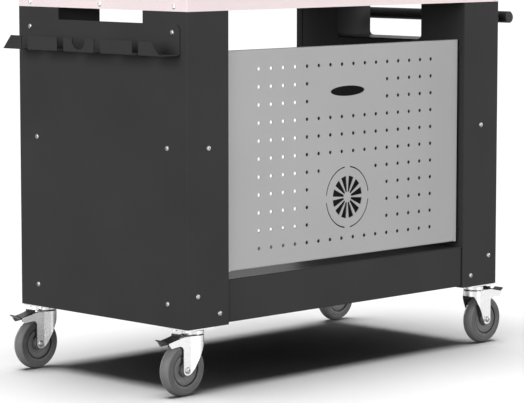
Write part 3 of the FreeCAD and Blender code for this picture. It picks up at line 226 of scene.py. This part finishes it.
MATERIALS = {
    "body_paint": powder_coat("charcoal_coat", (58, 58, 58), 0.34),
    "handle_paint": powder_coat("handle_coat", (54, 54, 55), 0.3),
    "top_paint": powder_coat("pale_coat", (243, 227, 229), 0.4, change=0.008),
    "flap_steel": flap_paint(),
    "zinc": zinc("bright_zinc", 216, 224, 0.26),
    "wheel_plastic": moulded("wheel_plastic", 96, 0.5),
    "tyre_rubber": rubber("tyre_rubber", 62, 72),
    "black_plastic": moulded("black_plastic", 40, 0.3),
}
SCREW_STEEL = zinc("screw_steel", 140, 158, 0.4)
# Dark material for the ball races: painted shade for the shaded gap between each fork's crown and its
# plate.
RACE_PAINTED_SHADE = zinc("race_painted_shade", 70, 90, 0.45)
# Lighter copy of the tyre rubber for the tread, painted light: the tread shows lit against the darker
# face.
TREAD_PAINTED_LIGHT = rubber("tread_rubber_painted_light", 100, 108)
# Near-black coat for the beads at the rail ends, painted shade in the gaps at the legs.
SEAM_PAINTED_SHADE = powder_coat("seam_painted_shade", (8, 8, 8), 0.6)


def dress_nodes():
    """Give each solid the material of its slot in the record, except the ball races, which get a dark
    material as painted shade in the gap under the swivel plate.
    """
    for part in frame["record"]["subparts"]:
        item = NODES[part["node"]]
        item.data.materials.clear()
        # Ball races take the dark material, painted shade for the gap under the swivel plate.
        race = part["node"].endswith("ball_race")
        item.data.materials.append(RACE_PAINTED_SHADE if race else MATERIALS[part["material_slot"]])


# Mesh helpers

SAME_POINT = 1e-6


def mesh_piece(name, mesh, slot, body, smooth_angle=35, material=None):
    """A finished mesh as a piece with its material, riding on a body."""
    piece = bpy.data.objects.new(name, mesh)
    bpy.context.scene.collection.objects.link(piece)
    mesh.materials.append(material or MATERIALS[slot])
    for face in mesh.polygons:
        face.use_smooth = True
    mesh.set_sharp_from_angle(angle=math.radians(smooth_angle))
    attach(piece, body)
    return piece


def finished(name, shape):
    """The mesh of a bmesh, with its faces turned outwards."""
    bmesh.ops.recalc_face_normals(shape, faces=shape.faces)
    mesh = bpy.data.meshes.new(name)
    shape.to_mesh(mesh)
    shape.free()
    return mesh


def lathe(shape, profile, place, steps=96):
    """A closed outline of (radius, along) turned about Y and stood at a point."""
    rings = []
    for step in range(steps):
        angle = 2 * math.pi * step / steps
        across, up = math.cos(angle), math.sin(angle)
        rings.append([shape.verts.new(place + Vector((radius * across, along, radius * up)))
                      for radius, along in profile])
    for step in range(steps):
        ring, following = rings[step], rings[(step + 1) % steps]
        for index in range(len(profile)):
            there = (index + 1) % len(profile)
            shape.faces.new((ring[index], following[index], following[there], ring[there]))


def hexagon_reach(angle):
    """How far a hexagon reaches in one direction, against its corners."""
    return math.cos(math.pi / 6) / math.cos(angle % (math.pi / 3) - math.pi / 6)


def turned(shape, profile, place, steps=24):
    """An open outline of (radius, along, hexagonal) turned about Z, both of its ends on the axis."""
    ends = [shape.verts.new(place @ Vector((0, 0, profile[index][1]))) for index in (0, -1)]
    rings = []
    for radius, along, hexagonal in profile[1:-1]:
        ring = []
        for step in range(steps):
            angle = 2 * math.pi * step / steps
            reach = radius * hexagon_reach(angle) if hexagonal else radius
            point = Vector((reach * math.cos(angle), reach * math.sin(angle), along))
            ring.append(shape.verts.new(place @ point))
        rings.append(ring)
    for step in range(steps):
        following = (step + 1) % steps
        shape.faces.new((ends[0], rings[0][step], rings[0][following]))
        shape.faces.new((ends[1], rings[-1][step], rings[-1][following]))
        for inner, outer in zip(rings, rings[1:]):
            shape.faces.new((inner[step], inner[following], outer[following], outer[step]))


def prism(shape, outline, start, end):
    """A closed outline of (x, y) drawn up from one height to another, with both ends shut."""
    rings = [[shape.verts.new((x, y, level)) for x, y in outline] for level in (start, end)]
    for index in range(len(outline)):
        there = (index + 1) % len(outline)
        shape.faces.new((rings[0][index], rings[0][there], rings[1][there], rings[1][index]))
    for ring in rings:
        shape.faces.new(ring)


def solids_of(node):
    """The corners of the box round each separate solid of a CAD node."""
    shape = bmesh.new()
    shape.from_mesh(NODES[node].data)
    bmesh.ops.remove_doubles(shape, verts=shape.verts, dist=SAME_POINT)
    left = set(shape.verts)
    boxes = []
    for start in shape.verts:
        if start not in left:
            continue
        left.remove(start)
        stack = [start]
        found = [start]
        while stack:
            for edge in stack.pop().link_edges:
                for vertex in edge.verts:
                    if vertex in left:
                        left.remove(vertex)
                        stack.append(vertex)
                        found.append(vertex)
        low = Vector(min(vertex.co[axis] for vertex in found) for axis in range(3))
        high = Vector(max(vertex.co[axis] for vertex in found) for axis in range(3))
        boxes.append((low, high))
    shape.free()
    return boxes


def arc(centre, radius, start, end, steps=6):
    """Points on an arc, in degrees."""
    points = []
    for step in range(steps + 1):
        angle = math.radians(start + (end - start) * step / steps)
        points.append((centre[0] + radius * math.cos(angle), centre[1] + radius * math.sin(angle)))
    return points


def middle_of(node):
    """The middle of a CAD node's box."""
    low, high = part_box(node)
    return (low + high) / 2


# Camera, floor and light

FLOOR_REACH = 30
FLOOR_SEEN = (244, 247)
FLOOR_THROWN = 80
WORLD_SEEN = 1.0
WORLD_THROWN = 0.01
LAMP_DISTANCE = 6

# Each lamp's strength, azimuth, elevation and width in degrees, and whether it lights the floor
# or everything else. The floor has its own two, for the soft edge of the shadow.
LAMPS = {
    "floor_sky": (3.55, 135, 86, 52, True),
    "floor_fill": (0.12, 0, 90, 150, True),
    "object_sky": (1.2, 0, 90, 57, False),
    "left_softbox": (4.1, 186, 8, 50, False),
    "right_softbox": (2.0, 0, 10, 20, False),
    "back_softbox": (2.6, 78, 10, 20, False),
    "front_softbox": (2.38, 290, 10, 20, False),
}


def set_camera():
    """The photograph's view of the table."""
    data = bpy.data.cameras.new("camera")
    data.lens = CAMERA_LENS
    camera = bpy.data.objects.new("camera", data)
    camera.location = CAMERA_PLACE
    camera.rotation_euler = Euler([math.radians(angle) for angle in CAMERA_TURN])
    bpy.context.scene.collection.objects.link(camera)
    bpy.context.scene.camera = camera


def seen_rays(tree):
    """1 where the camera or a reflection looks, 0 for the light thrown on other things."""
    path = tree.nodes.new("ShaderNodeLightPath")
    seen = tree.nodes.new("ShaderNodeMath")
    seen.operation = "MAXIMUM"
    tree.links.new(path.outputs["Is Camera Ray"], seen.inputs[0])
    tree.links.new(path.outputs["Is Glossy Ray"], seen.inputs[1])
    return seen.outputs[0]


def make_floor():
    """Plain pale floor, wide enough to reach past every view."""
    mesh = bpy.data.meshes.new("floor")
    corners = [(across * FLOOR_REACH, deep * FLOOR_REACH, 0)
               for across, deep in ((-1, -1), (1, -1), (1, 1), (-1, 1))]
    mesh.from_pydata(corners, [], [(0, 1, 2, 3)])
    floor = bpy.data.objects.new("floor", mesh)
    bpy.context.scene.collection.objects.link(floor)
    plain = Shader("floor_white", 0.9, Specular_IOR_Level=0.0)
    dim = plain.add("ShaderNodeRGB")
    dim.outputs[0].default_value = srgb(FLOOR_THROWN)
    pale = plain.ramp(plain.noise(3, detail=2), srgb(FLOOR_SEEN[0]), srgb(FLOOR_SEEN[1]))
    plain.colour(plain.mix(seen_rays(plain.tree), dim.outputs[0], pale))
    mesh.materials.append(plain.material)
    return floor


def set_world():
    """White where the camera or a reflection looks at it, and a low even light otherwise."""
    world = bpy.data.worlds.new("studio")
    world.use_nodes = True
    bpy.context.scene.world = world
    tree = world.node_tree
    back = tree.nodes["Background"]
    back.inputs["Color"].default_value = (1, 1, 1, 1)
    level = tree.nodes.new("ShaderNodeMapRange")
    level.inputs["To Min"].default_value = WORLD_THROWN
    level.inputs["To Max"].default_value = WORLD_SEEN
    tree.links.new(seen_rays(tree), level.inputs["Value"])
    tree.links.new(level.outputs["Result"], back.inputs["Strength"])


def sun(name, strength, azimuth, elevation, width, floor, lights_floor):
    """A soft sun that lights either the floor or everything else."""
    data = bpy.data.lights.new(name, "SUN")
    data.energy = strength
    data.angle = math.radians(width)
    item = bpy.data.objects.new(name, data)
    turn, rise = math.radians(azimuth), math.radians(elevation)
    source = Vector((math.cos(turn) * math.cos(rise), math.sin(turn) * math.cos(rise), math.sin(rise)))
    item.location = LAMP_DISTANCE * source
    item.rotation_euler = (-source).to_track_quat("-Z", "Y").to_euler()
    bpy.context.scene.collection.objects.link(item)
    group = bpy.data.collections.new(name + "_floor")
    group.objects.link(floor)
    item.light_linking.receiver_collection = group
    state = "INCLUDE" if lights_floor else "EXCLUDE"
    group.collection_objects[0].light_linking.link_state = state


def set_light(floor):
    """All the lamps, linked to the floor or kept off it."""
    for name, (strength, azimuth, elevation, width, lights_floor) in LAMPS.items():
        sun(name, strength, azimuth, elevation, width, floor, lights_floor)


# Wheels

RIM_RADIUS = 0.038
AXLE_RADIUS = 0.005
BORE_SLACK = 0.0001
BOSS_RADIUS = 0.0155
BOSS_ROUND = 0.0008
GROOVE_DEPTH = 0.0004
TREAD_DROP = 0.0068
TREAD_EDGE = 0.0008
TREAD_SLOPE = 0.0006
CROWN_STEPS = 8
FACE_RINGS = (0.0455, 0.0515)

# Points of the tyre's face as (outwards, depth below the face)
BEAD = ((0, 0.004), (0.0006, 0.0012), (0.002, GROOVE_DEPTH))
RING = ((0, GROOVE_DEPTH), (0.0005, 0), (0.0024, 0), (0.0029, GROOVE_DEPTH))

# A ring sunk round the boss, a nearly flush web and a rim with a groove at the bead
HUB_FACE = [
    (BOSS_RADIUS + BOSS_ROUND, 0.0095), (0.0185, 0.0088), (0.0212, 0.0094), (0.0245, 0.0118),
    (0.0262, 0.0122), (0.0300, 0.0122), (0.0305, 0.0126), (0.0345, 0.0128), (0.0357, 0.0122),
    (0.0360, 0.0110), (0.0364, 0.0075), (RIM_RADIUS, 0.0070),
]

# The axle bolt's ends as (radius, height over the seat, hexagonal)
HEAD_HEIGHT = 0.005
AXLE_STEPS = 48
DOMED_HEAD = [
    (0.0079, 0, False), (0.0079, 0.0008, False), (0.0072, 0.0022, False), (0.0060, 0.0034, False),
    (0.0044, 0.0042, False), (0.0034, 0.0044, False), (0.0029, 0.0042, True), (0.0028, 0.0022, True),
    (0, 0.0019, False),
]
CHAMFERED_NUT = [
    (0, 0, False), (0.0079, 0, False), (0.0079, 0.0003, True), (0.0079, 0.0040, True),
    (0.0068, 0.0048, False), (0.0052, 0.0048, False), (0.0049, 0.0044, False),
    (0.0049, 0.0050, False), (0.0044, 0.0050, False), (0, 0.0050, False),
]


def mirrored(half):
    """A half outline of (radius, along), closed by its mirror image in the wheel's middle."""
    return half + [(radius, -along) for radius, along in reversed(half)]


def tyre_profile(outer, side):
    """Bead, a face with two low rings, a crisp edge and a crowned tread."""
    half = [(RIM_RADIUS + out, side - deep) for out, deep in BEAD]
    for ring in FACE_RINGS:
        half += [(ring + out, side - deep) for out, deep in RING]
    edge = outer - TREAD_DROP
    half += [(edge - TREAD_SLOPE, side - GROOVE_DEPTH), (edge, side - TREAD_EDGE)]
    for index in range(1, CROWN_STEPS):
        along = (side - TREAD_EDGE) * (1 - index / CROWN_STEPS)
        half.append((outer - TREAD_DROP * (along / side) ** 2, along))
    return mirrored(half)


def hub_profile(boss_side):
    """Bore, boss and face of the hub."""
    boss = [(AXLE_RADIUS + BORE_SLACK, boss_side), (BOSS_RADIUS - BOSS_ROUND, boss_side),
            (BOSS_RADIUS, boss_side - BOSS_ROUND)]
    return mirrored(boss + HUB_FACE)


def make_wheel(caster):
    """Tyre and hub in place of the plain ones."""
    body = f"{caster}_wheel"
    node = f"{caster}_tyre"
    low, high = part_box(node)
    middle = middle_of(node)
    outer = (high.z - low.z) / 2
    shape = bmesh.new()
    lathe(shape, tyre_profile(outer, (high.y - low.y) / 2), middle)
    tyre = mesh_piece(f"{caster}_round_tyre", finished(node, shape), "tyre_rubber", body)
    # The tread and the face take two copies of one rubber; the tread's lighter copy is painted light.
    tyre.data.materials.append(TREAD_PAINTED_LIGHT)
    edge = outer - TREAD_DROP
    for face in tyre.data.polygons:
        away = face.center - middle
        if math.hypot(away.x, away.z) > edge:
            face.material_index = 1
    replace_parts(tyre, node)
    node = f"{caster}_hub"
    low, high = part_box(node)
    shape = bmesh.new()
    lathe(shape, hub_profile((high.y - low.y) / 2), middle_of(node))
    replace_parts(mesh_piece(f"{caster}_dished_hub", finished(node, shape), "wheel_plastic", body), node)


def make_axle(caster):
    """Axle bolt with a low domed head in front and a chamfered nut behind."""
    node = f"{caster}_axle_bolt"
    low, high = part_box(node)
    middle = middle_of(node)
    seat = (high.y - low.y) / 2 - HEAD_HEIGHT
    shank = [(0, -seat, False), (AXLE_RADIUS, -seat, False), (AXLE_RADIUS, seat, False)]
    shape = bmesh.new()
    for turn, start, end in ((90, shank, DOMED_HEAD), (-90, [], CHAMFERED_NUT)):
        place = Matrix.Translation(middle) @ Matrix.Rotation(math.radians(turn), 4, "X")
        profile = start + [(radius, seat + rise, hexagonal) for radius, rise, hexagonal in end]
        turned(shape, profile, place, AXLE_STEPS)
    mesh = finished(node, shape)
    piece = mesh_piece(f"{caster}_axle", mesh, "zinc", f"{caster}_swivel", material=SCREW_STEEL)
    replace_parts(piece, node)


# Screws

# Height of the head over its seat
SCREW_HEAD = 0.0036

# Shank, domed head and hexagonal socket as (radius, height over the seat, hexagonal)
SCREW_PROFILE = [
    (0, -0.009, False), (0.0027, -0.009, False), (0.003, -0.0086, False), (0.003, 0, False),
    (0.00625, 0, False), (0.00625, 0.0006, False), (0.0061, 0.0012, False), (0.0055, 0.0021, False),
    (0.0047, 0.0028, False), (0.0037, 0.0033, False), (0.0029, SCREW_HEAD, False),
    (0.0024, 0.0035, True), (0.0023, 0.0033, True), (0.0023, 0.0014, True), (0, 0.0010, False),
]


def make_screws(node, along, material):
    """Button heads with a hexagonal socket, facing away from the table along one axis."""
    shape = bmesh.new()
    for low, high in solids_of(node):
        middle = (low + high) / 2
        outwards = Vector((0, 0, 0))
        outwards[along] = math.copysign(1, middle[along])
        seat = middle.copy()
        seat[along] = (high if outwards[along] > 0 else low)[along] - outwards[along] * SCREW_HEAD
        facing = outwards.to_track_quat("Z", "Y").to_matrix().to_4x4()
        turned(shape, SCREW_PROFILE, Matrix.Translation(seat) @ facing)
    piece = mesh_piece(node + "_socketed", finished(node, shape), "zinc", "body", material=material)
    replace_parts(piece, node)


# Window linings

# Half the window's width, its sill's height over the floor and the radius of its corners
WINDOW_HALF = 0.1495
WINDOW_LOW = 0.7910
WINDOW_CORNER = 0.016
LINING_GAUGE = 0.0012
LINING_SLACK = 0.0001
SHEET_GAUGE = 0.002


def make_lining(side):
    """Folded sleeve through a column, from its inner wall's cut-out to its outer sheet's."""
    near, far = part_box(f"{side}_inner_wall")
    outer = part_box(f"{side}_side_panel")[1 if side == "right" else 0].x
    sign = 1 if side == "right" else -1
    start = max(abs(near.x), abs(far.x)) + LINING_SLACK
    end = abs(outer) - SHEET_GAUGE - LINING_SLACK
    outlines = []
    for grow in (0, LINING_GAUGE):
        half, corner = WINDOW_HALF + grow, WINDOW_CORNER + grow
        middle = WINDOW_LOW - grow + corner
        outline = [(-half, far.z)] + arc((corner - half, middle), corner, 180, 270, 8)
        outline += arc((half - corner, middle), corner, 270, 360, 8) + [(half, far.z)]
        outlines.append(outline)
    shape = bmesh.new()
    loops = [[shape.verts.new((sign * x, y, z)) for y, z in outline]
             for x in (start, end) for outline in outlines]
    inner_start, outer_start, inner_end, outer_end = loops
    for index in range(len(inner_start) - 1):
        there = index + 1
        for first, second in ((inner_start, inner_end), (inner_end, outer_end),
                              (outer_end, outer_start), (outer_start, inner_start)):
            shape.faces.new((first[index], first[there], second[there], second[index]))
    for index in (0, -1):
        shape.faces.new((inner_start[index], inner_end[index], outer_end[index], outer_start[index]))
    mesh_piece(f"{side}_window_lining", finished(f"{side}_lining", shape), "body_paint", "body")


# Panel folds

FOLD_RADIUS = 0.0078
FOLD_LIP = 0.006
FOLD_SKIN = 0.0002

# Thickness of the cut-back lip, the angle where it ends and the heights that it runs between
FOLD_GAUGE = 0.0012
FOLD_CUT = -42
HINGE_FOOT = 0.2892
HINGE_HEAD = 0.3165


def make_fold(side):
    """Rounded fold down one side of the panel, cut back to a lip where the hinge pin passes."""
    low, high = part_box("front_flap")
    sign = 1 if side == "right" else -1
    edge = high.x
    centre = (edge, low.y + FOLD_RADIUS - FOLD_SKIN)
    lip = [(edge - FOLD_LIP, low.y + FOLD_SKIN), (edge - FOLD_LIP, low.y - FOLD_SKIN)]
    whole = lip + arc(centre, FOLD_RADIUS, -90, 0, 9)
    whole += [(edge + FOLD_RADIUS, high.y), (edge + FOLD_SKIN, high.y),
              (edge + FOLD_SKIN, low.y + FOLD_SKIN)]
    cut_back = lip + arc(centre, FOLD_RADIUS, -90, FOLD_CUT, 5)
    cut_back += arc(centre, FOLD_RADIUS - FOLD_GAUGE, FOLD_CUT, -90, 5)
    shape = bmesh.new()
    for outline, start, end in ((whole, low.z, HINGE_FOOT), (cut_back, HINGE_FOOT, HINGE_HEAD),
                                (whole, HINGE_HEAD, high.z)):
        prism(shape, [(sign * x, y) for x, y in outline], start, end)
    mesh_piece(f"{side}_panel_fold", finished(f"{side}_fold", shape), "flap_steel", "flap")


# Painted shade in the gaps between the rails and the legs

SEAM_WIDTH = 0.0032
SEAM_PROUD = 0.0003
SEAM_STEPS = 8
SEAM_CUT = 0.0005


def make_gap_shades(end):
    """Dark low bead at both ends of a rail, painted shade for the shaded gap where the rail meets the
    legs.
    """
    low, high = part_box(f"{end}_rail")
    outwards = -1 if end == "front" else 1
    face = low.y if end == "front" else high.y
    shape = bmesh.new()
    for edge in (low.x, high.x):
        inwards = -math.copysign(1, edge)
        bead = [(0, -SEAM_PROUD)]
        for step in range(SEAM_STEPS + 1):
            angle = math.pi * step / SEAM_STEPS
            bead.append((SEAM_WIDTH * (1 - math.cos(angle)) / 2, SEAM_PROUD * math.sin(angle)))
        bead.append((SEAM_WIDTH, -SEAM_PROUD))
        outline = [(edge + inwards * across, face + outwards * proud) for across, proud in bead]
        prism(shape, outline, low.z + SEAM_CUT, high.z - SEAM_CUT)
    mesh = finished(f"{end}_seams", shape)
    # The dark bead paints the shade in the gap between rail and leg.
    mesh_piece(f"{end}_rail_gap_shade", mesh, "black_plastic", "body", material=SEAM_PAINTED_SHADE)


set_camera()
dress_nodes()
for caster in CASTERS:
    make_wheel(caster)
    make_axle(caster)
for screws, along in (("side_screws", 0), ("rack_screws", 0), ("leg_screws", 1)):
    make_screws(screws, along, SCREW_STEEL)
make_screws("worktop_screws", 0, MATERIALS["zinc"])
for end in ENDS:
    make_gap_shades(end)
for side in SIDES:
    make_fold(side)
for side in SIDES:
    make_lining(side)
floor = make_floor()
set_world()
set_light(floor)
bpy.context.scene.view_settings.view_transform = "Standard"
